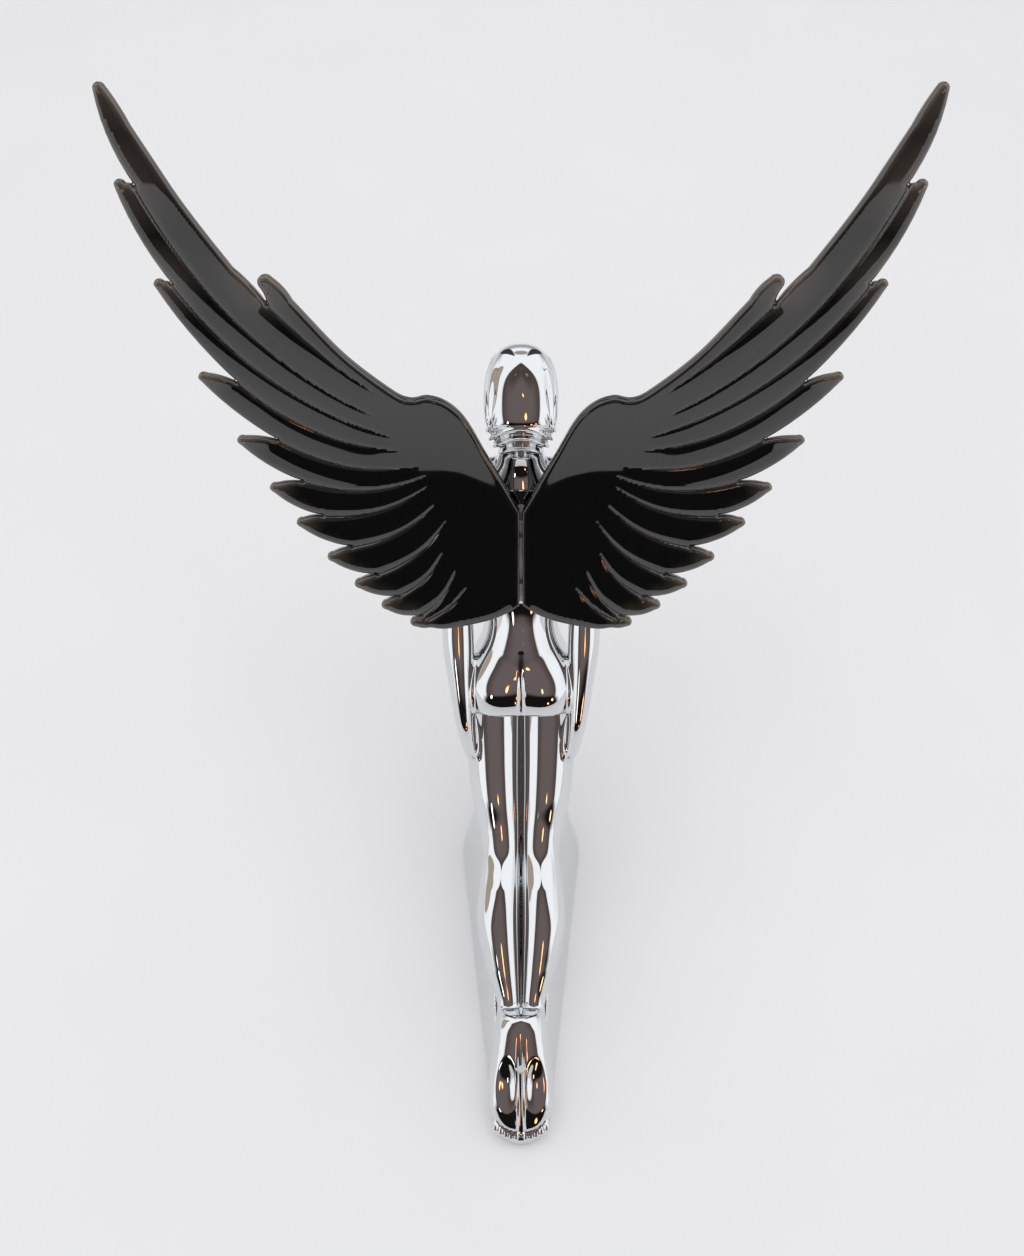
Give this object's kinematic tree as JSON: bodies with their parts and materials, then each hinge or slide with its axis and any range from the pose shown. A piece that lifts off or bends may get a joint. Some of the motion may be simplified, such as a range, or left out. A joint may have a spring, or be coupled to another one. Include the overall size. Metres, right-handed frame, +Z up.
{
  "type": "hood ornament",
  "caption": "Chrome winged-figure hood ornament: a forward-leaning woman on a teardrop pedestal with upswept smoke-black feathered wings.",
  "frame": {"origin": "on the underside of the base, on the plane of symmetry, between the two stud holes", "axes": "+Y the way the figure faces (the front of the vehicle), +Z up, X left-right across the plane of symmetry"},
  "size_m": [0.168, 0.1534, 0.2263],
  "materials": {
    "chrome_casting": "mirror-bright chrome plate on a zinc die casting",
    "chrome_plate": "bright chrome-plated steel plate",
    "smoke_plastic": "high-gloss smoke-black moulded plastic, brownish and slightly clear at thin tips",
    "base_rubber": "matt black rubber",
    "fastener_steel": "zinc-plated steel"
  },
  "bodies": {
    "root": {"pedestal": "chrome_casting", "figure": "chrome_casting", "base_pad": "base_rubber", "stud_insert_rear": "fastener_steel", "figure_washer_rear": "fastener_steel", "figure_screw_rear": "fastener_steel", "stud_insert_front": "fastener_steel", "figure_washer_front": "fastener_steel", "figure_screw_front": "fastener_steel", "wing_bracket": "chrome_plate", "bracket_screw_lower": "fastener_steel", "bracket_screw_upper": "fastener_steel", "wing_left": "smoke_plastic", "wing_right": "smoke_plastic", "wing_washer_left_lower": "fastener_steel", "wing_screw_left_lower": "fastener_steel", "wing_washer_left_upper": "fastener_steel", "wing_screw_left_upper": "fastener_steel", "wing_washer_right_lower": "fastener_steel", "wing_screw_right_lower": "fastener_steel", "wing_washer_right_upper": "fastener_steel", "wing_screw_right_upper": "fastener_steel"}
  },
  "joints": []
}
